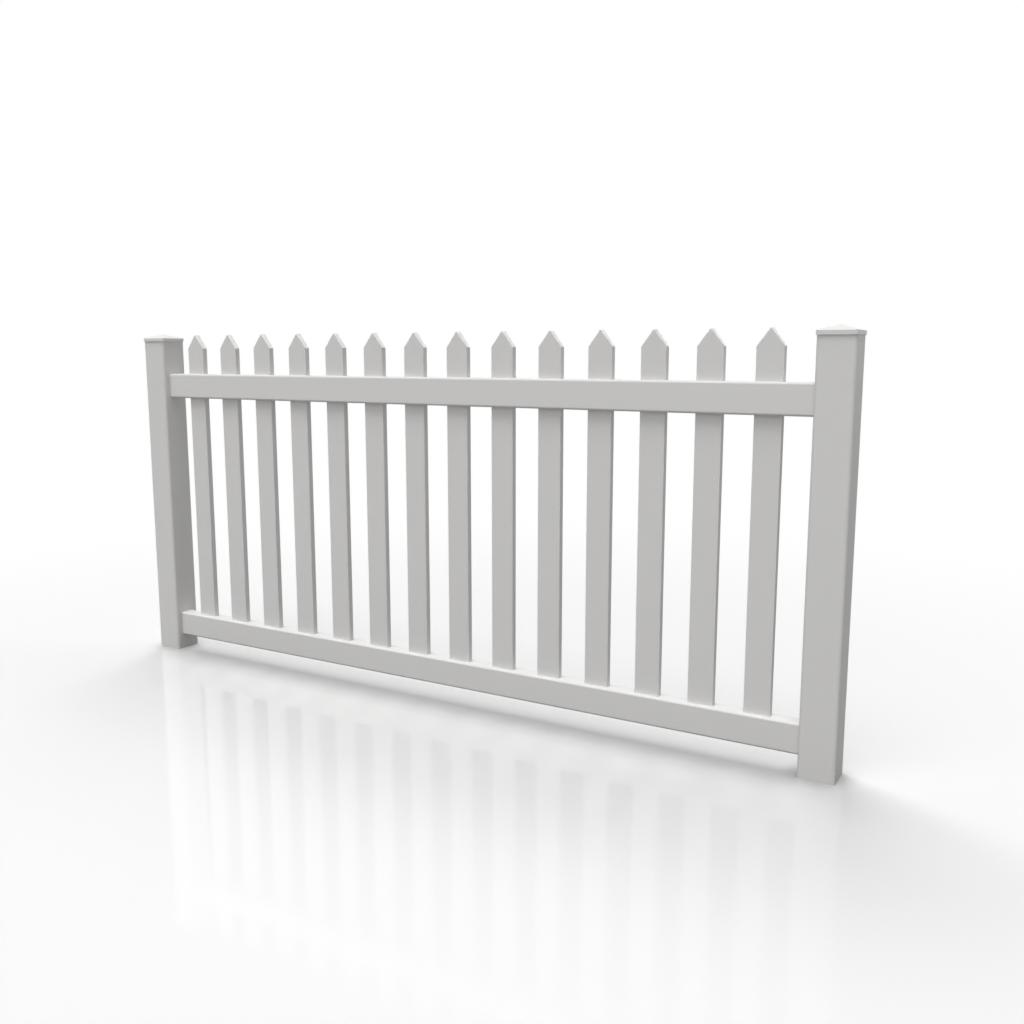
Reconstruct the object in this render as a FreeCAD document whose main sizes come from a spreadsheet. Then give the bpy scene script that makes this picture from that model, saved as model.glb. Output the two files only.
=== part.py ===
import FreeCAD, Part
import math
import os

import Sketcher
from FreeCAD import Placement, Rotation, Vector

# A bay of white vinyl picket fence, in millimetres: two hollow posts with low pyramid caps,
# two hollow rails that enter routed mortises in the posts, and a row of pointed pickets that pass
# through routed slots in the top rail and stand inside the bottom rail.
# The origin is at the centre of the left post's foot, +X runs along the fence, +Y to its back.

SIZES = {
    # Setting out
    "clear_width": 2387.6,
    "bottom_rail_level": 54.5,
    "top_rail_level": 971.0,
    # Posts
    "post_size": 101.6,
    "post_height": 1188.5,
    "post_wall": 3.8,
    "post_corner_radius": 9.5,
    # Post caps
    "cap_wall": 2.7,
    "cap_lip_height": 11.5,
    "cap_seat_depth": 9.0,
    "cap_rise": 14.5,
    "cap_tip_size": 7.0,
    # Rails
    "rail_depth": 50.8,
    "rail_height": 88.9,
    "rail_wall": 2.3,
    "rail_corner_radius": 7.0,
    "rail_insert": 28.0,
    # Pickets
    "picket_count": 14,
    "picket_width": 76.2,
    "picket_thickness": 22.2,
    "picket_length": 1144.0,
    "picket_wall": 1.6,
    "picket_edge_radius": 3.2,
    "picket_head_rise": 48.0,
    "picket_tip_width": 5.0,
    # Clearances
    "mortise_clearance": 0.3,
    "slot_clearance": 0.3,
    "cap_clearance": 0.3,
}

# The pickets share the clear width between the posts with equal gaps
PICKET_GAP = (
    "(Sizes.clear_width - Sizes.picket_count * Sizes.picket_width)"
    " / (Sizes.picket_count + 1)"
)
PICKET_PITCH = f"{PICKET_GAP} + Sizes.picket_width"

# Each side of a picket's head runs in by this much as it rises, along this length of slope
HEAD_RISE = "Sizes.picket_head_rise"
HEAD_RUN = "((Sizes.picket_width - Sizes.picket_tip_width) / 2)"
HEAD_SLOPE = f"sqrt({HEAD_RUN} ^ 2 + {HEAD_RISE} ^ 2)"

# A cap's lip is the post's outline, let out by the clearance and the cap's own wall
CAP_OVERHANG = "(Sizes.cap_clearance + Sizes.cap_wall)"
CAP_SIZE = f"Sizes.post_size + 2 * {CAP_OVERHANG}"
CAP_RADIUS = f"Sizes.post_corner_radius + {CAP_OVERHANG}"
CAP_PEAK = "Sizes.cap_lip_height + Sizes.cap_rise"

START, END, ORIGIN = 1, 2, -1
SIDES = 4
LEVEL = 1e-6


def make_sheet(doc):
    """Put each size in a cell of its own, with the size's name as its alias."""
    sheet = doc.addObject("Spreadsheet::Sheet", "Sizes")
    for row, (name, size) in enumerate(SIZES.items(), start=1):
        sheet.set(f"A{row}", name)
        sheet.set(f"B{row}", str(size))
        sheet.setAlias(f"B{row}", name)
    doc.recompute()
    return sheet


def bind(feature, **expressions):
    """Tie properties of a feature to the sheet; a double underscore stands for a dot."""
    for path, expression in expressions.items():
        feature.setExpression(path.replace("__", "."), expression)


def make_body(doc, label, **placement):
    """Start a sub-part whose place in the fence follows the sheet."""
    body = doc.addObject("PartDesign::Body", label)
    body.Label = label
    bind(body, **{f"Placement__Base__{axis}": place for axis, place in placement.items()})
    return body


def origin_feature(body, role):
    """Find one of the body's own planes or axes."""
    return next(item for item in body.Origin.OriginFeatures if item.Role == role)


def make_sketch(body, name, plane):
    """Lay a sketch on one of the body's planes."""
    sketch = body.newObject("Sketcher::SketchObject", f"{body.Name}_{name}")
    sketch.AttachmentSupport = (origin_feature(body, plane), [""])
    sketch.MapMode = "FlatFace"
    return sketch


def number(sketch, expression):
    """The present value of an expression."""
    return float(sketch.evalExpression(expression))


def dimension(sketch, name, expression, kind, *points):
    """Add a named dimension and tie it to the sheet."""
    index = sketch.addConstraint(
        Sketcher.Constraint(kind, *points, number(sketch, expression))
    )
    sketch.renameConstraint(index, name)
    sketch.setExpression(f"Constraints.{name}", expression)


def line(x0, y0, x1, y1):
    """A straight edge of an outline."""
    return Part.LineSegment(Vector(x0, y0, 0), Vector(x1, y1, 0))


def corner(x, y, radius, quarter):
    """A quarter-circle edge of an outline, counted anticlockwise from the right."""
    circle = Part.Circle(Vector(x, y, 0), Vector(0, 0, 1), radius)
    return Part.ArcOfCircle(circle, quarter * math.pi / 2, (quarter + 1) * math.pi / 2)


def rounded_rectangle(sketch, name, width, height, radius, bottom=None):
    """Draw a rounded rectangle, centred on the sketch's axes unless its bottom's place is given."""
    w, h, r = (number(sketch, size) for size in (width, height, radius))
    x0, y0 = -w / 2, number(sketch, bottom) if bottom else -h / 2
    x1, y1 = x0 + w, y0 + h
    foot = sketch.GeometryCount
    edges = [
        line(x0 + r, y0, x1 - r, y0),
        corner(x1 - r, y0 + r, r, 3),
        line(x1, y0 + r, x1, y1 - r),
        corner(x1 - r, y1 - r, r, 0),
        line(x1 - r, y1, x0 + r, y1),
        corner(x0 + r, y1 - r, r, 1),
        line(x0, y1 - r, x0, y0 + r),
        corner(x0 + r, y0 + r, r, 2),
    ]
    sketch.addGeometry(edges, False)
    first_arc, right, top, left_side = foot + 1, foot + 2, foot + 4, foot + 6
    for step in range(len(edges)):
        here, following = foot + step, foot + (step + 1) % len(edges)
        sketch.addConstraint(Sketcher.Constraint("Tangent", here, END, following, START))
    for edge in (foot, top):
        sketch.addConstraint(Sketcher.Constraint("Horizontal", edge))
    for edge in (right, left_side):
        sketch.addConstraint(Sketcher.Constraint("Vertical", edge))
    for arc in (first_arc + 2, first_arc + 4, first_arc + 6):
        sketch.addConstraint(Sketcher.Constraint("Equal", first_arc, arc))
    dimension(sketch, f"{name}_width", width, "DistanceX", left_side, START, right, START)
    dimension(sketch, f"{name}_height", height, "DistanceY", foot, START, top, START)
    dimension(sketch, f"{name}_radius", radius, "Radius", first_arc)
    half_width, half_height = f"({width}) / 2", f"({height}) / 2"
    dimension(sketch, f"{name}_half", half_width, "DistanceX", left_side, START, ORIGIN, START)
    if bottom:
        dimension(sketch, f"{name}_sill", bottom, "DistanceY", ORIGIN, START, foot, START)
    else:
        dimension(sketch, f"{name}_sill", half_height, "DistanceY", foot, START, ORIGIN, START)


def straight_outline(sketch, corners):
    """Join the corners by straight edges, and give the edges' numbers in the sketch."""
    edges = [line(*here, *there) for here, there in zip(corners, corners[1:] + corners[:1])]
    sketch.addGeometry(edges, False)
    for edge in range(len(edges)):
        following = (edge + 1) % len(edges)
        sketch.addConstraint(Sketcher.Constraint("Coincident", edge, END, following, START))
    return range(len(edges))


def slot_outline(sketch, width, height, left):
    """Draw a rectangle across the sketch's X axis, with its left side at a given place."""
    x0, w, y1 = number(sketch, left), number(sketch, width), number(sketch, height) / 2
    corners = [(x0, -y1), (x0 + w, -y1), (x0 + w, y1), (x0, y1)]
    foot, right, top, left_side = straight_outline(sketch, corners)
    for edge in (foot, top):
        sketch.addConstraint(Sketcher.Constraint("Horizontal", edge))
    for edge in (right, left_side):
        sketch.addConstraint(Sketcher.Constraint("Vertical", edge))
    dimension(sketch, "left", left, "DistanceX", ORIGIN, START, foot, START)
    dimension(sketch, "width", width, "DistanceX", foot, START, foot, END)
    dimension(sketch, "height", height, "DistanceY", right, START, right, END)
    dimension(sketch, "half_height", f"({height}) / 2", "DistanceY", foot, START, ORIGIN, START)


def extrude(body, kind, sketch, length, **settings):
    """Pad or pocket a sketch by a length from the sheet."""
    feature = body.newObject(f"PartDesign::{kind}", f"{sketch.Name}_{kind.lower()}")
    feature.Profile = sketch
    for setting, choice in settings.items():
        setattr(feature, setting, choice)
    bind(feature, Length=length)
    return feature


def tube_profile(sketch, width, height, wall, radius):
    """The hollow section of an extrusion: its outline, and its bore one wall inside it."""
    rounded_rectangle(sketch, "outline", width, height, radius)
    rounded_rectangle(
        sketch, "bore", f"{width} - 2 * {wall}", f"{height} - 2 * {wall}", f"{radius} - {wall}"
    )


def make_post(doc, label, **placement):
    """A square tube with a mortise for each rail routed through its +X wall."""
    body = make_body(doc, label, **placement)
    profile = make_sketch(body, "profile", "XY_Plane")
    tube_profile(
        profile, "Sizes.post_size", "Sizes.post_size", "Sizes.post_wall", "Sizes.post_corner_radius"
    )
    extrude(body, "Pad", profile, "Sizes.post_height")
    # Each mortise is the rail's outline with its sill at the rail's underside
    mortises = make_sketch(body, "mortises", "YZ_Plane")
    for rail in ("bottom", "top"):
        rounded_rectangle(
            mortises,
            rail,
            "Sizes.rail_depth + 2 * Sizes.mortise_clearance",
            "Sizes.rail_height + 2 * Sizes.mortise_clearance",
            "Sizes.rail_corner_radius + Sizes.mortise_clearance",
            bottom=f"Sizes.{rail}_rail_level",
        )
    extrude(body, "Pocket", mortises, "Sizes.post_size", Reversed=True)
    return body


def slope_notch(sketch):
    """The wedge above one slope of a cap, from its tip out and down to its lip."""
    tip, eaves = "Sizes.cap_tip_size / 2", f"({CAP_SIZE}) / 2"
    tip_x, eaves_x = number(sketch, tip), number(sketch, eaves)
    tip_y, eaves_y = number(sketch, CAP_PEAK), number(sketch, "Sizes.cap_lip_height")
    slope, side, top = straight_outline(
        sketch, [(tip_x, tip_y), (eaves_x, eaves_y), (eaves_x, tip_y)]
    )
    sketch.addConstraint(Sketcher.Constraint("Vertical", side))
    sketch.addConstraint(Sketcher.Constraint("Horizontal", top))
    dimension(sketch, "tip", tip, "DistanceX", ORIGIN, START, slope, START)
    dimension(sketch, "peak", CAP_PEAK, "DistanceY", ORIGIN, START, slope, START)
    dimension(sketch, "eaves", eaves, "DistanceX", ORIGIN, START, slope, END)
    dimension(sketch, "lip", "Sizes.cap_lip_height", "DistanceY", ORIGIN, START, slope, END)


def make_cap(doc, label, **placement):
    """A moulded cap: a lip that slips over the post, under a low hollow pyramid."""
    body = make_body(doc, label, z="Sizes.post_height - Sizes.cap_seat_depth", **placement)
    block = make_sketch(body, "block", "XY_Plane")
    rounded_rectangle(block, "block", CAP_SIZE, CAP_SIZE, CAP_RADIUS)
    extrude(body, "Pad", block, CAP_PEAK)
    # One slope, then the same round all four sides
    notch = make_sketch(body, "notch", "XZ_Plane")
    slope_notch(notch)
    slope = extrude(body, "Pocket", notch, f"2 * ({CAP_SIZE})", SideType="Symmetric")
    slopes = body.newObject("PartDesign::PolarPattern", f"{label}_slopes")
    slopes.Originals = [slope]
    slopes.Axis = (origin_feature(body, "Z_Axis"), [""])
    slopes.Occurrences = SIDES
    body.Tip = slopes
    # The post's end stops against the ledge between its seat and the hollow above
    seat = make_sketch(body, "seat", "XY_Plane")
    seat_size = "Sizes.post_size + 2 * Sizes.cap_clearance"
    seat_radius = "Sizes.post_corner_radius + Sizes.cap_clearance"
    rounded_rectangle(seat, "seat", seat_size, seat_size, seat_radius)
    extrude(body, "Pocket", seat, "Sizes.cap_seat_depth", Reversed=True)
    hollow = body.newObject("PartDesign::SubtractiveWedge", f"{label}_hollow")
    hollow.AttachmentSupport = (origin_feature(body, "XY_Plane"), [""])
    hollow.MapMode = "FlatFace"
    hollow.AttachmentOffset = Placement(Vector(), Rotation(Vector(1, 0, 0), 90))
    bore, tip = "(Sizes.post_size / 2 - Sizes.post_wall)", "Sizes.cap_tip_size / 2"
    for axis in "XZ":
        hollow.setExpression(f"{axis}min", f"-{bore}")
        hollow.setExpression(f"{axis}max", bore)
        hollow.setExpression(f"{axis}2min", f"-{tip}")
        hollow.setExpression(f"{axis}2max", tip)
    bind(
        hollow,
        Ymin="Sizes.cap_seat_depth",
        Ymax=f"{CAP_PEAK} - Sizes.cap_wall",
    )
    return body


def make_rail(doc, label, both_walls):
    """A tube from post to post, routed for the pickets through its top wall or through both."""
    body = make_body(
        doc,
        label,
        x="Sizes.post_size / 2 - Sizes.rail_insert",
        z=f"Sizes.{label}_level + Sizes.rail_height / 2",
    )
    profile = make_sketch(body, "profile", "YZ_Plane")
    tube_profile(
        profile, "Sizes.rail_depth", "Sizes.rail_height", "Sizes.rail_wall", "Sizes.rail_corner_radius"
    )
    extrude(body, "Pad", profile, "Sizes.clear_width + 2 * Sizes.rail_insert")
    slot = make_sketch(body, "slot", "XY_Plane")
    slot_outline(
        slot,
        "Sizes.picket_width + 2 * Sizes.slot_clearance",
        "Sizes.picket_thickness + 2 * Sizes.slot_clearance",
        f"Sizes.rail_insert + {PICKET_GAP} - Sizes.slot_clearance",
    )
    sides = "Symmetric" if both_walls else "One side"
    cut = extrude(body, "Pocket", slot, "Sizes.rail_height * 2", Reversed=True, SideType=sides)
    slots = body.newObject("PartDesign::LinearPattern", f"{label}_slots")
    slots.Originals = [cut]
    slots.Direction = (origin_feature(body, "X_Axis"), [""])
    slots.Mode = "Spacing"
    bind(slots, Offset=PICKET_PITCH, Occurrences="Sizes.picket_count")
    body.Tip = slots
    return body


def picket_outline(sketch, width, tip_width, length, head_rise):
    """A picket's front outline: straight sides, then two slopes up to a blunt tip."""
    half = number(sketch, width) / 2
    tip = number(sketch, tip_width) / 2
    peak = number(sketch, length)
    shoulder = peak - number(sketch, head_rise)
    corners = [
        (-half, 0),
        (half, 0),
        (half, shoulder),
        (tip, peak),
        (-tip, peak),
        (-half, shoulder),
    ]
    foot, right, slope, top, _, left = straight_outline(sketch, corners)
    for edge in (foot, top):
        sketch.addConstraint(Sketcher.Constraint("Horizontal", edge))
    for edge in (right, left):
        sketch.addConstraint(Sketcher.Constraint("Vertical", edge))
    sketch.addConstraint(Sketcher.Constraint("PointOnObject", foot, START, ORIGIN))
    sketch.addConstraint(Sketcher.Constraint("Horizontal", right, END, left, START))
    dimension(sketch, "width", width, "DistanceX", foot, START, foot, END)
    dimension(sketch, "half_width", f"({width}) / 2", "DistanceX", foot, START, ORIGIN, START)
    dimension(sketch, "tip_width", tip_width, "DistanceX", top, END, top, START)
    dimension(sketch, "half_tip", f"({tip_width}) / 2", "DistanceX", top, END, ORIGIN, START)
    dimension(sketch, "length", length, "DistanceY", ORIGIN, START, top, START)
    dimension(sketch, "head_rise", head_rise, "DistanceY", slope, START, slope, END)


def make_picket(doc, label, index):
    """A thin-walled picket, open at its foot, that stands on the bottom rail's inner floor."""
    body = make_body(
        doc,
        label,
        x=f"Sizes.post_size / 2 + {PICKET_GAP} + Sizes.picket_width / 2 + {index} * ({PICKET_PITCH})",
        z="Sizes.bottom_rail_level + Sizes.rail_wall",
    )
    outline = make_sketch(body, "outline", "XZ_Plane")
    picket_outline(
        outline,
        "Sizes.picket_width",
        "Sizes.picket_tip_width",
        "Sizes.picket_length",
        "Sizes.picket_head_rise",
    )
    blank = extrude(body, "Pad", outline, "Sizes.picket_thickness", SideType="Symmetric")
    doc.recompute()
    # The edges round the front and the back are eased, the foot's are left square
    faces = [face for face in blank.Shape.Faces if abs(face.normalAt(0, 0).y) > 1 - LEVEL]
    eased_edges = [
        f"Edge{count}"
        for count, edge in enumerate(blank.Shape.Edges, start=1)
        if any(edge.isSame(rim) for face in faces for rim in face.Edges)
        and edge.BoundBox.ZMax > LEVEL
    ]
    eased = body.newObject("PartDesign::Fillet", f"{label}_eased")
    eased.Base = (blank, eased_edges)
    bind(eased, Radius="Sizes.picket_edge_radius")
    # The hollow keeps one wall all round, square to the slopes too, and is open at the foot
    hollow = make_sketch(body, "hollow", "XZ_Plane")
    picket_outline(
        hollow,
        "Sizes.picket_width - 2 * Sizes.picket_wall",
        f"Sizes.picket_tip_width - 2 * Sizes.picket_wall * ({HEAD_SLOPE} - {HEAD_RUN}) / {HEAD_RISE}",
        "Sizes.picket_length - Sizes.picket_wall",
        f"{HEAD_RISE} - Sizes.picket_wall * ({HEAD_RUN} + {HEAD_RISE} - {HEAD_SLOPE}) / {HEAD_RUN}",
    )
    bore = "Sizes.picket_thickness - 2 * Sizes.picket_wall"
    extrude(body, "Pocket", hollow, bore, SideType="Symmetric")
    return body


def make_fence(doc):
    """Every sub-part of the fence, in its place."""
    sheet = make_sheet(doc)
    far_post = "Sizes.clear_width + Sizes.post_size"
    right_post = make_post(doc, "right_post", x=far_post)
    # The right post is the same piece turned round, so that its mortises face the left one
    right_post.Placement = Placement(right_post.Placement.Base, Rotation(Vector(0, 0, 1), 180))
    return [
        make_post(doc, "left_post"),
        right_post,
        make_cap(doc, "left_post_cap"),
        make_cap(doc, "right_post_cap", x=far_post),
        make_rail(doc, "bottom_rail", both_walls=False),
        make_rail(doc, "top_rail", both_walls=True),
        *(make_picket(doc, f"picket_{i + 1:02d}", i) for i in range(int(sheet.picket_count))),
    ]


def check(doc, bodies):
    """Stop unless every feature was built and every sub-part is one sound solid."""
    failed = [item.Label for item in doc.Objects if {"Invalid", "Error"} & set(item.State)]
    unsound = [
        body.Label
        for body in bodies
        if body.Shape.isNull() or not body.Shape.isValid() or len(body.Shape.Solids) != 1
    ]
    if failed or unsound:
        raise RuntimeError(f"failed features {failed}, unsound sub-parts {unsound}")


def main():
    doc = FreeCAD.newDocument("picket_fence_panel")
    bodies = make_fence(doc)
    doc.recompute()
    check(doc, bodies)
    os.makedirs("parts", exist_ok=True)
    for body in bodies:
        body.Shape.exportStep(f"parts/{body.Label}.step")
        box = body.Shape.BoundBox
        low = f"{box.XMin:.1f} {box.YMin:.1f} {box.ZMin:.1f}"
        high = f"{box.XMax:.1f} {box.YMax:.1f} {box.ZMax:.1f}"
        print(f"{body.Label}: {low} to {high}, {body.Shape.Volume / 1000:.1f} cm3")


main()
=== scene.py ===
"""A bay of white vinyl picket fence, dressed and set in a plain studio.

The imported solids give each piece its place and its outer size. Each piece is modelled again here
with soft edges, hollow and routed as the real extrusions are, and finished in satin white vinyl.
Lengths are in metres, with +X along the fence, +Y to its back and +Z up.
"""

import logging
import math
from abc import ABC, abstractmethod
from collections.abc import Callable
from dataclasses import dataclass, replace
from enum import Enum
from typing import ClassVar

import bmesh
import bpy
from bmesh.types import BMesh, BMEdge, BMFace, BMVert
from mathutils import Matrix, Vector


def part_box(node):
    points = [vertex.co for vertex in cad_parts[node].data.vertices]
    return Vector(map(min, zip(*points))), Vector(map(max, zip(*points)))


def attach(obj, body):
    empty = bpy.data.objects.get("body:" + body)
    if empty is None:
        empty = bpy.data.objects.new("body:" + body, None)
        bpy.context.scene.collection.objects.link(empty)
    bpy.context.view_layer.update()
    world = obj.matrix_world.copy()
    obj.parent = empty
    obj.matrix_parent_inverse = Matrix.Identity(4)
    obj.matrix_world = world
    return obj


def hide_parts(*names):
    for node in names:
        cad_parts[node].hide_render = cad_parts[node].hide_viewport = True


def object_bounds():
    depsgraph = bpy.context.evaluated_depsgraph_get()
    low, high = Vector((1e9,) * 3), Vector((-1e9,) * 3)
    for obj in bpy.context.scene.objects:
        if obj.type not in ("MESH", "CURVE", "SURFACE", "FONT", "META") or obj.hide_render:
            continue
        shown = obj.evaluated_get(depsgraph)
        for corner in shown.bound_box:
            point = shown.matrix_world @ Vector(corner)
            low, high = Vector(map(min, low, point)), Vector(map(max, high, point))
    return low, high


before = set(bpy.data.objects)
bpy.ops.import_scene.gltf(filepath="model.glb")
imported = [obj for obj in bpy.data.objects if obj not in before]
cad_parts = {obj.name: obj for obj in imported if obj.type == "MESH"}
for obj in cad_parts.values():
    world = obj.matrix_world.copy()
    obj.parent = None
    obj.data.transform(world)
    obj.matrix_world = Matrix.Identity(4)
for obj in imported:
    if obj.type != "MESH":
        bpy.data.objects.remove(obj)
cad_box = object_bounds()

Colour = tuple[float, float, float]

LOG = logging.getLogger("picket_fence")
BODY = "root"
WHITE = (1.0, 1.0, 1.0, 1.0)
QUARTER_TURN = math.pi / 2
# Share of its normal along an axis from which a face counts as facing that way
FACING = 0.5
# Bevel profile that makes an arc
ROUND_PROFILE = 0.5
# Grids are sized by half their side, so this makes a square of side 1
UNIT_SQUARE = 0.5


class Slot(Enum):
    """The record's material slots."""

    POST = "post"
    CAP = "cap"
    RAIL = "rail"
    PICKET = "picket"

    @property
    def upright(self) -> bool:
        """Whether its pieces stand upright."""
        return self in (Slot.POST, Slot.PICKET)


class Side(Enum):
    """The end of the bay that a post stands at."""

    LEFT = "left"
    RIGHT = "right"


class Grain(Enum):
    """How a piece was formed, as the scale of its surface marks along X, Y and Z."""

    DRAWN_ALONG = (0.004, 1.0, 1.0)
    DRAWN_UP = (1.0, 1.0, 0.004)
    MOULDED = (1.0, 1.0, 1.0)


class NodeBoard:
    """The shader nodes of one material or world."""

    def __init__(self, owner: bpy.types.Material | bpy.types.World) -> None:
        """Start from an empty tree.

        Args:
            owner: The material or world.
        """
        owner.use_nodes = True
        self.tree = owner.node_tree
        self.tree.nodes.clear()

    def add(
        self, kind: str, inputs: dict[str, object] | None = None, **settings: object
    ) -> bpy.types.Node:
        """Add a node.

        Args:
            kind: Name of the node's type.
            inputs: Numbers and colours for its inputs.
            settings: Its other settings.

        Returns:
            The new node.
        """
        node = self.tree.nodes.new(kind)
        for name, setting in settings.items():
            setattr(node, name, setting)
        for name, value in (inputs or {}).items():
            node.inputs[name].default_value = value
        return node

    def join(self, source: bpy.types.NodeSocket, target: bpy.types.NodeSocket) -> None:
        """Lead one node's output into another's input."""
        self.tree.links.new(source, target)


@dataclass(frozen=True)
class SatinVinyl:
    """White vinyl with a satin face, nearly even in colour, with faint marks of how it was formed.

    Attributes:
        name: Name of the material.
        grain: How the piece was formed.
        tone: Colour over most of the face.
        shade: Colour where the batch is a little greyer.
        gloss: Roughness of the smoothest and the dullest patches.
        mark_depth: Height of the marks that the die or the mould leaves.
        pebble_depth: Height of the finer pebble over them.
    """

    name: str
    grain: Grain
    tone: Colour = (0.814, 0.807, 0.792)
    shade: Colour = (0.790, 0.784, 0.772)
    gloss: tuple[float, float] = (0.40, 0.50)
    mark_depth: float = 0.00004
    pebble_depth: float = 0.00001

    cloud_scale: ClassVar[float] = 2.5
    cloud_detail: ClassVar[float] = 4.0
    mark_scale: ClassVar[float] = 260.0
    pebble_scale: ClassVar[float] = 900.0
    refraction: ClassVar[float] = 1.46

    def material(self) -> bpy.types.Material:
        """Make the material, or find it if it has been made.

        Returns:
            The material.
        """
        made = bpy.data.materials.get(self.name)
        if made:
            return made
        material = bpy.data.materials.new(self.name)
        board = NodeBoard(material)
        shader = board.add("ShaderNodeBsdfPrincipled", {"IOR": self.refraction})
        output = board.add("ShaderNodeOutputMaterial")
        board.join(shader.outputs["BSDF"], output.inputs["Surface"])
        place = board.add("ShaderNodeTexCoord").outputs["Object"]
        self._colour(board, place, shader)
        self._relief(board, place, shader)
        return material

    def _colour(
        self, board: NodeBoard, place: bpy.types.NodeSocket, shader: bpy.types.Node
    ) -> None:
        """Cloud the colour and the gloss very slightly.

        Args:
            board: The material's nodes.
            place: Where on the piece a point lies.
            shader: The surface.
        """
        cloud = board.add(
            "ShaderNodeTexNoise", {"Scale": self.cloud_scale, "Detail": self.cloud_detail}
        )
        board.join(place, cloud.inputs["Vector"])
        tones = board.add("ShaderNodeValToRGB")
        for stop, colour in zip(tones.color_ramp.elements, (self.tone, self.shade)):
            stop.color = (*colour, 1.0)
        board.join(cloud.outputs["Fac"], tones.inputs["Fac"])
        board.join(tones.outputs["Color"], shader.inputs["Base Color"])
        smooth, dull = self.gloss
        gloss = board.add("ShaderNodeMapRange", {"To Min": smooth, "To Max": dull})
        board.join(cloud.outputs["Fac"], gloss.inputs["Value"])
        board.join(gloss.outputs["Result"], shader.inputs["Roughness"])

    def _relief(
        self, board: NodeBoard, place: bpy.types.NodeSocket, shader: bpy.types.Node
    ) -> None:
        """Raise the faint marks, and a finer pebble over them.

        Args:
            board: The material's nodes.
            place: Where on the piece a point lies.
            shader: The surface.
        """
        drawn = board.add("ShaderNodeMapping", {"Scale": self.grain.value})
        board.join(place, drawn.inputs["Vector"])
        marks = board.add("ShaderNodeTexNoise", {"Scale": self.mark_scale})
        board.join(drawn.outputs["Vector"], marks.inputs["Vector"])
        pebble = board.add("ShaderNodeTexNoise", {"Scale": self.pebble_scale})
        board.join(place, pebble.inputs["Vector"])
        lines = board.add("ShaderNodeBump", {"Distance": self.mark_depth})
        board.join(marks.outputs["Fac"], lines.inputs["Height"])
        fine = board.add("ShaderNodeBump", {"Distance": self.pebble_depth})
        board.join(pebble.outputs["Fac"], fine.inputs["Height"])
        board.join(lines.outputs["Normal"], fine.inputs["Normal"])
        board.join(fine.outputs["Normal"], shader.inputs["Normal"])


def round_edges(bm: BMesh, edges: list[BMEdge], radius: float, segments: int) -> None:
    """Round some edges of a mesh.

    Args:
        bm: The mesh.
        edges: The edges.
        radius: Radius of the rounding on a square edge.
        segments: Flats that the rounding is made of.
    """
    bmesh.ops.bevel(
        bm,
        geom=edges,
        offset=radius,
        offset_type="OFFSET",
        affect="EDGES",
        segments=segments,
        profile=ROUND_PROFILE,
        material=-1,
        clamp_overlap=True,
    )


def draw_out(bm: BMesh, faces: list[BMFace], travel: Vector) -> list[BMVert]:
    """Extrude flat faces into a closed solid.

    Args:
        bm: The mesh.
        faces: The faces.
        travel: How far and which way they go.

    Returns:
        The solid's vertices.
    """
    start = {vert for face in faces for vert in face.verts}
    grown = bmesh.ops.extrude_face_region(bm, geom=faces)["geom"]
    end = [item for item in grown if isinstance(item, BMVert)]
    bmesh.ops.translate(bm, vec=travel, verts=end)
    bmesh.ops.recalc_face_normals(bm, faces=bm.faces)
    return [*start, *end]


def sink(
    bm: BMesh, face: BMFace, margin: float, depth: float, taper: tuple[float, float] = (1.0, 1.0)
) -> BMFace:
    """Press the middle of a downward face up into its solid.

    Args:
        bm: The mesh.
        face: The face.
        margin: Width of the rim that stays.
        depth: How far up the rest goes.
        taper: Share of its width and of its depth that the pressed face keeps.

    Returns:
        The face at the far end of the hollow.
    """
    if margin:
        bmesh.ops.inset_region(
            bm, faces=[face], thickness=margin, use_boundary=True, use_even_offset=True
        )
    ceiling = bmesh.ops.extrude_discrete_faces(bm, faces=[face])["faces"][0]
    bmesh.ops.translate(bm, vec=(0.0, 0.0, depth), verts=ceiling.verts)
    about = Matrix.Translation(-ceiling.calc_center_median())
    bmesh.ops.scale(bm, vec=(*taper, 1.0), space=about, verts=ceiling.verts)
    return ceiling


def lay_along_x(bm: BMesh, verts: list[BMVert], start: Vector) -> None:
    """Turn a solid that was drawn up Z to run along X, with its width upright, and move it.

    Args:
        bm: The mesh.
        verts: The solid's vertices.
        start: Where the middle of its first end goes.
    """
    bmesh.ops.rotate(bm, verts=verts, matrix=Matrix.Rotation(QUARTER_TURN, 3, "Y"))
    bmesh.ops.translate(bm, vec=start, verts=verts)


def make_object(name: str, model: Callable[[BMesh], None]) -> bpy.types.Object:
    """Make an object of what a function models.

    Args:
        name: Name of the object and of its mesh.
        model: The function, which fills an empty mesh.

    Returns:
        The object, in the scene.
    """
    bm = bmesh.new()
    model(bm)
    mesh = bpy.data.meshes.new(name)
    bm.to_mesh(mesh)
    bm.free()
    made = bpy.data.objects.new(name, mesh)
    bpy.context.scene.collection.objects.link(made)
    return made


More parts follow.
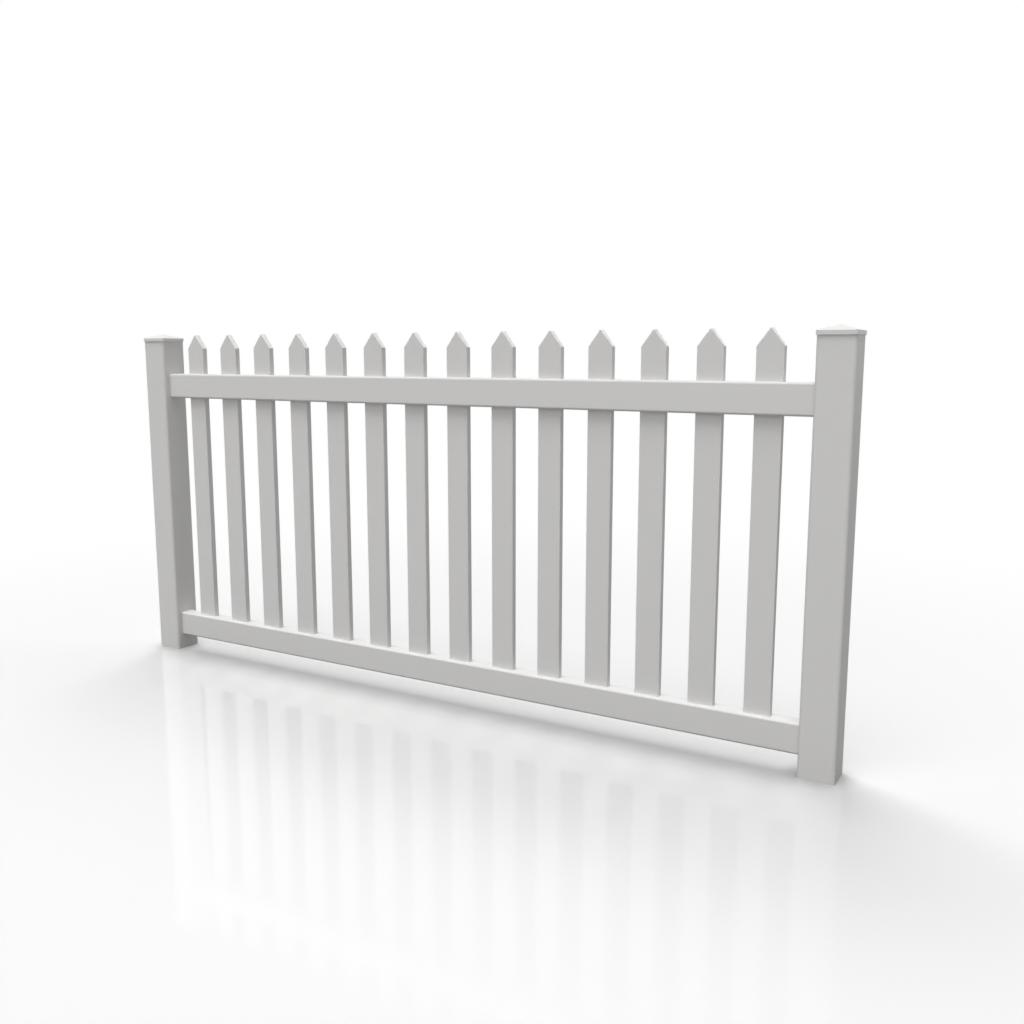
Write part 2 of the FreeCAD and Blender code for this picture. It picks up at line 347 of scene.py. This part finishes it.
@dataclass(frozen=True)
class Section:
    """A rounded rectangle that a solid or a tube is drawn from, up from the origin.

    Attributes:
        width: Size along X.
        depth: Size along Y.
        radius: Radius of its corners.
        segments: Flats in each corner.
    """

    width: float
    depth: float
    radius: float
    segments: int

    def grown(self, play: float) -> "Section":
        """Make a section that is larger all round.

        Args:
            play: How much larger, on every side.

        Returns:
            The larger section.
        """
        return replace(
            self,
            width=self.width + 2 * play,
            depth=self.depth + 2 * play,
            radius=self.radius + play,
        )

    def plate(self, bm: BMesh) -> BMFace:
        """Lay the section down as one flat face.

        Args:
            bm: The mesh.

        Returns:
            The face.
        """
        square = bmesh.ops.create_grid(bm, x_segments=1, y_segments=1, size=UNIT_SQUARE)
        corners = square["verts"]
        bmesh.ops.scale(bm, vec=(self.width, self.depth, 1.0), verts=corners)
        rounded = bmesh.ops.bevel(
            bm,
            geom=corners,
            offset=self.radius,
            offset_type="OFFSET",
            affect="VERTICES",
            segments=self.segments,
            profile=ROUND_PROFILE,
            material=-1,
        )
        return rounded["verts"][0].link_faces[0]

    def solid(self, bm: BMesh, length: float) -> list[BMVert]:
        """Draw a solid bar.

        Args:
            bm: The mesh.
            length: Its length.

        Returns:
            The bar's vertices.
        """
        return draw_out(bm, [self.plate(bm)], Vector((0.0, 0.0, length)))

    def tube(self, bm: BMesh, length: float, wall: float) -> list[BMVert]:
        """Draw a tube.

        Args:
            bm: The mesh.
            length: Its length.
            wall: Thickness of its wall.

        Returns:
            The tube's vertices.
        """
        bore = self.plate(bm)
        ring = bmesh.ops.inset_region(
            bm, faces=[bore], thickness=wall, use_boundary=True, use_even_offset=True
        )
        bmesh.ops.delete(bm, geom=[bore], context="FACES_ONLY")
        return draw_out(bm, ring["faces"], Vector((0.0, 0.0, length)))


@dataclass(frozen=True)
class VinylPiece(ABC):
    """One vinyl piece of the fence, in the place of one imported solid.

    Attributes:
        node: Name of the solid.
        finish: Its surface.
    """

    node: str
    finish: SatinVinyl

    slot: ClassVar[Slot]
    sharp_angle: ClassVar[float] = math.radians(32.0)

    @property
    def low(self) -> Vector:
        """The lowest corner of the solid."""
        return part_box(self.node)[0]

    @property
    def high(self) -> Vector:
        """The highest corner of the solid."""
        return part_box(self.node)[1]

    @property
    def size(self) -> Vector:
        """The size of the solid."""
        return self.high - self.low

    @property
    def middle(self) -> Vector:
        """The middle of the solid."""
        return (self.low + self.high) / 2

    @property
    def foot(self) -> Vector:
        """The middle of the solid's underside."""
        return Vector((self.middle.x, self.middle.y, self.low.z))

    @abstractmethod
    def shape(self, bm: BMesh) -> None:
        """Model the piece in its place.

        Args:
            bm: An empty mesh.
        """

    def routing(self, bm: BMesh) -> None:
        """Model what is routed out of the piece: nothing, unless a piece says otherwise.

        Args:
            bm: An empty mesh.
        """

    def build(self) -> bpy.types.Object:
        """Model the piece, finish it and put it in the solid's place.

        Returns:
            The finished piece.
        """
        piece = make_object(f"{self.node}_vinyl", self.shape)
        cutter = make_object(f"{self.node}_cutter", self.routing)
        if cutter.data.polygons:
            self._carve(piece, cutter)
        bpy.data.objects.remove(cutter)
        piece.data.shade_smooth()
        piece.data.set_sharp_from_angle(angle=self.sharp_angle)
        piece.data.materials.append(self.finish.material())
        piece.modifiers.new("even_faces", "WEIGHTED_NORMAL").keep_sharp = True
        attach(piece, BODY)
        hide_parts(self.node)
        return piece

    @staticmethod
    def _carve(piece: bpy.types.Object, cutter: bpy.types.Object) -> None:
        """Cut one object's shape out of another.

        Args:
            piece: What is cut.
            cutter: What is taken out of it.
        """
        cut = piece.modifiers.new("routing", "BOOLEAN")
        cut.object = cutter
        cut.solver = "EXACT"
        depsgraph = bpy.context.evaluated_depsgraph_get()
        carved = bpy.data.meshes.new_from_object(piece.evaluated_get(depsgraph))
        piece.modifiers.remove(cut)
        piece.data = carved


@dataclass(frozen=True)
class Picket(VinylPiece):
    """A thin-walled picket with a pointed head, open at its foot.

    Attributes:
        head_rise: Height of the pointed head.
        tip_width: Width of its blunt tip.
        edge_radius: Rounding of the edges round its front and its back.
        wall: Thickness of its wall.
    """

    head_rise: float = 0.0480
    tip_width: float = 0.0050
    edge_radius: float = 0.0032
    wall: float = 0.0016

    slot: ClassVar[Slot] = Slot.PICKET
    edge_segments: ClassVar[int] = 5

    def shape(self, bm: BMesh) -> None:
        """Draw the outline through the thickness, ease its edges and hollow it from its foot.

        Args:
            bm: An empty mesh.
        """
        low, high, middle = self.low, self.high, self.middle
        shoulder = high.z - self.head_rise
        half_tip = self.tip_width / 2
        outline = (
            (low.x, low.z),
            (high.x, low.z),
            (high.x, shoulder),
            (middle.x + half_tip, high.z),
            (middle.x - half_tip, high.z),
            (low.x, shoulder),
        )
        front = bm.faces.new([bm.verts.new((x, low.y, z)) for x, z in outline])
        draw_out(bm, [front], Vector((0.0, self.size.y, 0.0)))
        rims = [
            edge
            for edge in bm.edges
            if any(abs(face.normal.y) > FACING for face in edge.link_faces)
            and max(vert.co.z for vert in edge.verts) > low.z
        ]
        round_edges(bm, rims, self.edge_radius, self.edge_segments)
        underside = min(bm.faces, key=lambda face: face.normal.z)
        shoulders = sink(bm, underside, self.wall, shoulder - low.z)
        narrow = self.tip_width / self.size.x
        sink(bm, shoulders, 0.0, self.head_rise - 2 * self.wall, (narrow, 1.0))


@dataclass(frozen=True)
class Rail(VinylPiece):
    """A hollow rail from post to post, slotted for the pickets.

    Attributes:
        pickets: The pickets that stand in it.
        through: Whether they pass out through its underside too.
        wall: Thickness of its wall.
        corner_radius: Radius of its corners.
        clearance: Play of a picket in its slot.
    """

    pickets: tuple[Picket, ...]
    through: bool
    wall: float = 0.0023
    corner_radius: float = 0.0070
    clearance: float = 0.0003

    slot: ClassVar[Slot] = Slot.RAIL
    corner_segments: ClassVar[int] = 6

    @property
    def section(self) -> Section:
        """The rail's outline, with its height as its width."""
        return Section(self.size.z, self.size.y, self.corner_radius, self.corner_segments)

    def shape(self, bm: BMesh) -> None:
        """Draw the tube from one tenon's end to the other's.

        Args:
            bm: An empty mesh.
        """
        tube = self.section.tube(bm, self.size.x, self.wall)
        lay_along_x(bm, tube, Vector((self.low.x, self.middle.y, self.middle.z)))

    def routing(self, bm: BMesh) -> None:
        """Shape the slots, through the top wall or through both.

        Args:
            bm: An empty mesh.
        """
        lowest = (self.low.z if self.through else self.middle.z) - self.wall
        highest = self.high.z + self.wall
        for picket in self.pickets:
            size = picket.size + Vector((2 * self.clearance, 2 * self.clearance, 0.0))
            size.z = highest - lowest
            centre = picket.middle
            centre.z = (highest + lowest) / 2
            bmesh.ops.create_cube(bm, size=1.0, matrix=Matrix.LocRotScale(centre, None, size))


@dataclass(frozen=True)
class Post(VinylPiece):
    """A square hollow post with a mortise for each rail.

    Attributes:
        side: The end of the bay that it stands at.
        rails: The rails that enter it.
        wall: Thickness of its wall.
        corner_radius: Radius of its corners.
        clearance: Play of a rail in its mortise.
    """

    side: Side
    rails: tuple[Rail, ...]
    wall: float = 0.0038
    corner_radius: float = 0.0095
    clearance: float = 0.0003

    slot: ClassVar[Slot] = Slot.POST
    corner_segments: ClassVar[int] = 8

    def shape(self, bm: BMesh) -> None:
        """Draw the square tube up from its foot.

        Args:
            bm: An empty mesh.
        """
        outline = Section(self.size.x, self.size.y, self.corner_radius, self.corner_segments)
        tube = outline.tube(bm, self.size.z, self.wall)
        bmesh.ops.translate(bm, vec=self.foot, verts=tube)

    def routing(self, bm: BMesh) -> None:
        """Shape the mortises: each is a rail's outline, with its sill at the rail's underside.

        Args:
            bm: An empty mesh.
        """
        wall_start = self.high.x - self.wall if self.side is Side.LEFT else self.low.x
        for rail in self.rails:
            plug = rail.section.grown(self.clearance).solid(bm, 2 * self.wall)
            level = rail.middle.z + self.clearance
            lay_along_x(bm, plug, Vector((wall_start - self.wall / 2, rail.middle.y, level)))


@dataclass(frozen=True)
class PostCap(VinylPiece):
    """A moulded cap: a lip that slips over the post, under a low hollow pyramid.

    Attributes:
        lip_height: Height of the lip.
        corner_radius: Radius of the lip's corners.
        tip_size: Width of the small flat at the peak.
        wall: Thickness of the lip and the roof.
        seat_depth: How far the post reaches into the cap.
        ledge: Width of the ledge that stops the post.
        edge_radius: Rounding of the roof's edges.
        rim_radius: Rounding of the lip's lower edge.
    """

    lip_height: float = 0.0115
    corner_radius: float = 0.0125
    tip_size: float = 0.0070
    wall: float = 0.0027
    seat_depth: float = 0.0090
    ledge: float = 0.0041
    edge_radius: float = 0.0012
    rim_radius: float = 0.0005

    slot: ClassVar[Slot] = Slot.CAP
    corner_segments: ClassVar[int] = 8
    edge_segments: ClassVar[int] = 3

    def shape(self, bm: BMesh) -> None:
        """Cut the pyramid's slopes off a block, ease its edges and hollow it from below.

        Args:
            bm: An empty mesh.
        """
        size = self.size
        block = Section(size.x, size.y, self.corner_radius, self.corner_segments)
        block.solid(bm, size.z)
        self._cut_slopes(bm, size)
        roof = [
            edge for edge in bm.edges if any(face.normal.z > FACING for face in edge.link_faces)
        ]
        round_edges(bm, roof, self.edge_radius, self.edge_segments)
        underside = min(bm.faces, key=lambda face: face.normal.z)
        round_edges(bm, underside.edges[:], self.rim_radius, self.edge_segments)
        underside = min(bm.faces, key=lambda face: face.calc_center_median().z)
        seat = sink(bm, underside, self.wall - self.rim_radius, self.seat_depth)
        narrow = self.tip_size / (size.x - 2 * (self.wall + self.ledge))
        rise = size.z - self.seat_depth - self.wall
        sink(bm, seat, self.ledge, rise, (narrow, narrow))
        bmesh.ops.translate(bm, vec=self.foot, verts=bm.verts)

    def _cut_slopes(self, bm: BMesh, size: Vector) -> None:
        """Cut the four slopes from the lip up to the tip.

        Args:
            bm: The block, with its foot about the origin.
            size: Size of the block.
        """
        eaves = Vector((size.x / 2, 0.0, self.lip_height))
        run = (size.x - self.tip_size) / 2
        upward = Vector((size.z - self.lip_height, 0.0, run)).normalized()
        for quarter in range(4):
            turn = Matrix.Rotation(quarter * QUARTER_TURN, 3, "Z")
            cut = bmesh.ops.bisect_plane(
                bm,
                geom=bm.verts[:] + bm.edges[:] + bm.faces[:],
                plane_co=turn @ eaves,
                plane_no=turn @ upward,
                clear_outer=True,
            )
            rim = [edge for edge in cut["geom_cut"] if isinstance(edge, BMEdge)]
            bmesh.ops.edgeloop_fill(bm, edges=rim)
        bmesh.ops.recalc_face_normals(bm, faces=bm.faces)


@dataclass(frozen=True)
class Lamp:
    """A broad, distant studio lamp, which lights but isn't mirrored in gloss or polish.

    Attributes:
        name: Name of the lamp.
        azimuth: Where it stands, in degrees round from the front of the fence towards its right.
        elevation: Its height above the horizon, in degrees.
        spread: How wide it looks from the fence, in degrees.
        strength: Light that it throws on a surface that faces it.
    """

    name: str
    azimuth: float
    elevation: float
    spread: float
    strength: float

    def build(self, lit: bpy.types.Collection) -> None:
        """Hang the lamp.

        Args:
            lit: What it lights.
        """
        light = bpy.data.lights.new(self.name, "SUN")
        light.energy = self.strength
        light.angle = math.radians(self.spread)
        lamp = bpy.data.objects.new(self.name, light)
        lamp.visible_glossy = False
        lamp.light_linking.receiver_collection = lit
        around, up = math.radians(self.azimuth), math.radians(self.elevation)
        level = math.cos(up)
        towards = Vector((math.sin(around) * level, -math.cos(around) * level, math.sin(up)))
        lamp.rotation_euler = towards.to_track_quat("Z", "Y").to_euler()
        bpy.context.scene.collection.objects.link(lamp)


@dataclass(frozen=True)
class Studio:
    """A polished white floor in white surroundings, with soft lamps on the fence and on the floor.

    Attributes:
        middle: The point of the floor that the fence stands about.
        fence_lamps: The lamps on the whole fence.
        upright_lamps: More lamps on the posts and the pickets.
        crosswise_lamps: More lamps on the rails and the caps.
        floor_lamps: The lamps on the floor.
        fill: Light from all round.
        floor_size: Width of the floor.
        floor_white: Colour of the floor as it is seen.
        floor_painted_shade: Colour of the painted shade where the fence would cover the floor
            wholly.
        painted_shade_reach: How far off the fence the painted shade still greys the floor.
        floor_bounce: Colour of the floor as it lights the fence.
        floor_refraction: Refractive index of the polish, for the strength of its mirror image.
        fade: How far from the middle the floor starts to melt into the white, and where it has.
    """

    middle: Vector
    fence_lamps: tuple[Lamp, ...] = (
        Lamp("fence_back", 180.0, 20.0, 60.0, 0.90),
        Lamp("fence_right", 90.0, 25.0, 60.0, 0.30),
        Lamp("fence_left", -90.0, 25.0, 60.0, 0.30),
    )
    upright_lamps: tuple[Lamp, ...] = (
        Lamp("upright_low_front", 0.0, 20.0, 40.0, 0.26),
        Lamp("upright_front", 0.0, 45.0, 40.0, 0.53),
        Lamp("upright_overhead", 0.0, 75.0, 26.0, 2.06),
        Lamp("upright_steep", 0.0, 80.0, 18.0, 0.72),
    )
    crosswise_lamps: tuple[Lamp, ...] = (
        Lamp("crosswise_overhead", 0.0, 66.0, 40.0, 2.40),
        Lamp("crosswise_front", 0.0, 30.0, 60.0, 0.40),
    )
    floor_lamps: tuple[Lamp, ...] = (
        Lamp("floor_back_left", -150.0, 50.0, 28.0, 0.64),
        Lamp("floor_high_left", -135.0, 72.0, 18.0, 0.35),
        Lamp("floor_left", -120.0, 40.0, 18.0, 0.53),
        Lamp("floor_back", 180.0, 65.0, 24.0, 0.40),
        Lamp("floor_back_right", 135.0, 46.0, 30.0, 0.28),
        Lamp("floor_overhead", 0.0, 70.0, 30.0, 0.53),
        Lamp("floor_front", 0.0, 48.0, 70.0, 0.74),
    )
    fill: float = 0.10
    floor_size: float = 200.0
    floor_white: float = 0.96
    # Painted shade: the floor's seen colour is greyed near the fence by an occlusion node
    floor_painted_shade: float = 0.47
    painted_shade_reach: float = 0.06
    floor_bounce: float = 0.33
    floor_refraction: float = 1.32
    fade: tuple[float, float] = (1.2, 4.0)

    def build(
        self, uprights: list[bpy.types.Object], crosswise: list[bpy.types.Object]
    ) -> None:
        """Lay the floor, light the surroundings and hang the lamps.

        Args:
            uprights: The posts and the pickets.
            crosswise: The rails and the caps.
        """
        floor = self._floor()
        self._surroundings()
        self._hang(self.fence_lamps, "lit_fence", uprights + crosswise)
        self._hang(self.upright_lamps, "lit_uprights", uprights)
        self._hang(self.crosswise_lamps, "lit_crosswise", crosswise)
        self._hang(self.floor_lamps, "lit_floor", [floor])

    @staticmethod
    def _hang(lamps: tuple[Lamp, ...], name: str, lit: list[bpy.types.Object]) -> None:
        """Hang lamps that light some objects alone.

        Args:
            lamps: The lamps.
            name: Name for the group of objects.
            lit: The objects.
        """
        group = bpy.data.collections.new(name)
        for item in lit:
            group.objects.link(item)
        for lamp in lamps:
            lamp.build(group)

    def _floor(self) -> bpy.types.Object:
        """Lay the floor.

        Returns:
            The floor.
        """
        floor = make_object("studio_floor", self._floor_sheet)
        floor.location = self.middle
        floor.data.materials.append(self._floor_finish())
        return floor

    def _floor_sheet(self, bm: BMesh) -> None:
        """Model the floor as one flat square."""
        bmesh.ops.create_grid(bm, x_segments=1, y_segments=1, size=self.floor_size / 2)

    def _floor_finish(self) -> bpy.types.Material:
        """Make a polish that looks white, with shade painted round the fence's feet, that lights
        the fence a little less and fades far off.

        Returns:
            The floor's material.
        """
        material = bpy.data.materials.new("studio_floor")
        board = NodeBoard(material)
        seen = board.add("ShaderNodeLightPath").outputs["Is Camera Ray"]
        ground = board.add("ShaderNodeBsdfDiffuse")
        board.join(self._floor_tone(board, seen), ground.inputs["Color"])
        mirror = board.add("ShaderNodeBsdfGlossy", {"Color": WHITE, "Roughness": 0.0})
        angle = board.add("ShaderNodeFresnel", {"IOR": self.floor_refraction})
        sheen = board.add("ShaderNodeMath", operation="MULTIPLY")
        board.join(angle.outputs["Fac"], sheen.inputs[0])
        board.join(seen, sheen.inputs[1])
        # Its first shader stays empty, so the polish adds its share of the mirror and nothing else
        polish = board.add("ShaderNodeMixShader")
        board.join(sheen.outputs["Value"], polish.inputs[0])
        board.join(mirror.outputs["BSDF"], polish.inputs[2])
        near = board.add("ShaderNodeAddShader")
        board.join(ground.outputs["BSDF"], near.inputs[0])
        board.join(polish.outputs["Shader"], near.inputs[1])
        white = board.add("ShaderNodeEmission", {"Color": WHITE, "Strength": 1.0})
        choice = board.add("ShaderNodeMixShader")
        board.join(self._far_off(board, seen), choice.inputs[0])
        board.join(near.outputs["Shader"], choice.inputs[1])
        board.join(white.outputs["Emission"], choice.inputs[2])
        output = board.add("ShaderNodeOutputMaterial")
        board.join(choice.outputs["Shader"], output.inputs["Surface"])
        return material

    def _floor_tone(
        self, board: NodeBoard, seen: bpy.types.NodeSocket
    ) -> bpy.types.NodeSocket:
        """Paint shade on the floor close round the fence's feet, and dim the floor where it only
        lights the fence.

        Args:
            board: The floor's nodes.
            seen: Whether the camera sees the floor itself.

        Returns:
            The floor's colour, with its painted shade.
        """
        # Painted shade: an ambient occlusion node greys the floor's seen colour close to the fence
        clear = board.add("ShaderNodeAmbientOcclusion", {"Distance": self.painted_shade_reach})
        shown = board.add(
            "ShaderNodeMapRange", {"To Min": self.floor_painted_shade, "To Max": self.floor_white}
        )
        board.join(clear.outputs["AO"], shown.inputs["Value"])
        tone = board.add("ShaderNodeMapRange", {"To Min": self.floor_bounce})
        board.join(shown.outputs["Result"], tone.inputs["To Max"])
        board.join(seen, tone.inputs["Value"])
        return tone.outputs["Result"]

    def _far_off(
        self, board: NodeBoard, seen: bpy.types.NodeSocket
    ) -> bpy.types.NodeSocket:
        """Tell the far floor, which melts into the white, from the floor about the fence.

        Args:
            board: The floor's nodes.
            seen: Whether the camera sees the floor itself.

        Returns:
            How far the floor has faded, from 0 to 1.
        """
        place = board.add("ShaderNodeTexCoord").outputs["Object"]
        reach = board.add("ShaderNodeVectorMath", operation="LENGTH")
        board.join(place, reach.inputs[0])
        start, end = self.fade
        far = board.add(
            "ShaderNodeMapRange",
            {"From Min": start, "From Max": end},
            interpolation_type="SMOOTHSTEP",
        )
        board.join(reach.outputs["Value"], far.inputs["Value"])
        seen_far = board.add("ShaderNodeMath", operation="MULTIPLY")
        board.join(far.outputs["Result"], seen_far.inputs[0])
        board.join(seen, seen_far.inputs[1])
        return seen_far.outputs["Value"]

    def _surroundings(self) -> None:
        """Show white all round, also in gloss and glass, and light the fence with the fill.

        The floor's mirror, the only perfectly sharp one, shows the fence alone.
        """
        world = bpy.data.worlds.new("studio")
        bpy.context.scene.world = world
        board = NodeBoard(world)
        white = board.add("ShaderNodeBackground", {"Color": WHITE, "Strength": 1.0})
        fill = board.add("ShaderNodeBackground", {"Color": WHITE, "Strength": self.fill})
        path = board.add("ShaderNodeLightPath")
        seen = path.outputs["Is Camera Ray"]
        for ray in ("Is Glossy Ray", "Is Transmission Ray"):
            either = board.add("ShaderNodeMath", operation="MAXIMUM")
            board.join(seen, either.inputs[0])
            board.join(path.outputs[ray], either.inputs[1])
            seen = either.outputs["Value"]
        choice = board.add("ShaderNodeMixShader")
        board.join(seen, choice.inputs[0])
        board.join(fill.outputs["Background"], choice.inputs[1])
        board.join(white.outputs["Background"], choice.inputs[2])
        # Its second shader stays empty, which is dark
        dark = board.add("ShaderNodeMixShader")
        board.join(path.outputs["Is Singular Ray"], dark.inputs[0])
        board.join(choice.outputs["Shader"], dark.inputs[1])
        output = board.add("ShaderNodeOutputWorld")
        board.join(dark.outputs["Shader"], output.inputs["Surface"])


@dataclass(frozen=True)
class Viewpoint:
    """The camera, where the photograph was taken from.

    Attributes:
        place: Where it stands.
        turn: How far it is turned left of the fence's back, in radians.
        dip: How far it looks down, in radians.
        focal_px: Its focal length in pixels of the picture.
        picture_px: Width of the picture in pixels.
        sensor: Width of its sensor in millimetres.
    """

    place: tuple[float, float, float] = (3.0758, -2.6608, 1.1290)
    turn: float = 0.5289
    dip: float = 0.1547
    focal_px: float = 1006.3
    picture_px: int = 1024
    sensor: float = 36.0

    def build(self) -> None:
        """Set up the camera."""
        lens = bpy.data.cameras.new("viewpoint")
        lens.sensor_width = self.sensor
        lens.lens = self.sensor * self.focal_px / self.picture_px
        camera = bpy.data.objects.new("viewpoint", lens)
        camera.location = self.place
        camera.rotation_euler = (QUARTER_TURN - self.dip, 0.0, self.turn)
        bpy.context.scene.collection.objects.link(camera)
        bpy.context.scene.camera = camera


def fence_pieces() -> list[VinylPiece]:
    """Name every piece of the bay with its finish.

    Returns:
        The pieces: pickets, rails, posts and caps.
    """
    picket_face = SatinVinyl("picket_vinyl", Grain.DRAWN_UP)
    rail_face = SatinVinyl("rail_vinyl", Grain.DRAWN_ALONG)
    post_face = SatinVinyl("post_vinyl", Grain.DRAWN_UP)
    cap_face = SatinVinyl("cap_vinyl", Grain.MOULDED, gloss=(0.34, 0.42))
    names = sorted(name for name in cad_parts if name.startswith("picket_"))
    pickets = tuple(Picket(name, picket_face) for name in names)
    rails = (
        Rail("bottom_rail", rail_face, pickets, through=False),
        Rail("top_rail", rail_face, pickets, through=True),
    )
    posts = [Post(f"{side.value}_post", post_face, side, rails) for side in Side]
    caps = [PostCap(f"{side.value}_post_cap", cap_face) for side in Side]
    return [*pickets, *rails, *posts, *caps]


def main() -> None:
    """Put up the fence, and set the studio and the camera."""
    logging.basicConfig(level=logging.INFO, format="%(message)s")
    bpy.context.scene.view_settings.view_transform = "Standard"
    uprights: list[bpy.types.Object] = []
    crosswise: list[bpy.types.Object] = []
    for piece in fence_pieces():
        made = piece.build()
        LOG.info("%s: %d faces", made.name, len(made.data.polygons))
        group = uprights if piece.slot.upright else crosswise
        group.append(made)
    low, high = cad_box
    studio = Studio(Vector(((low[0] + high[0]) / 2, (low[1] + high[1]) / 2, low[2])))
    studio.build(uprights, crosswise)
    Viewpoint().build()


if __name__ == "__main__":
    main()
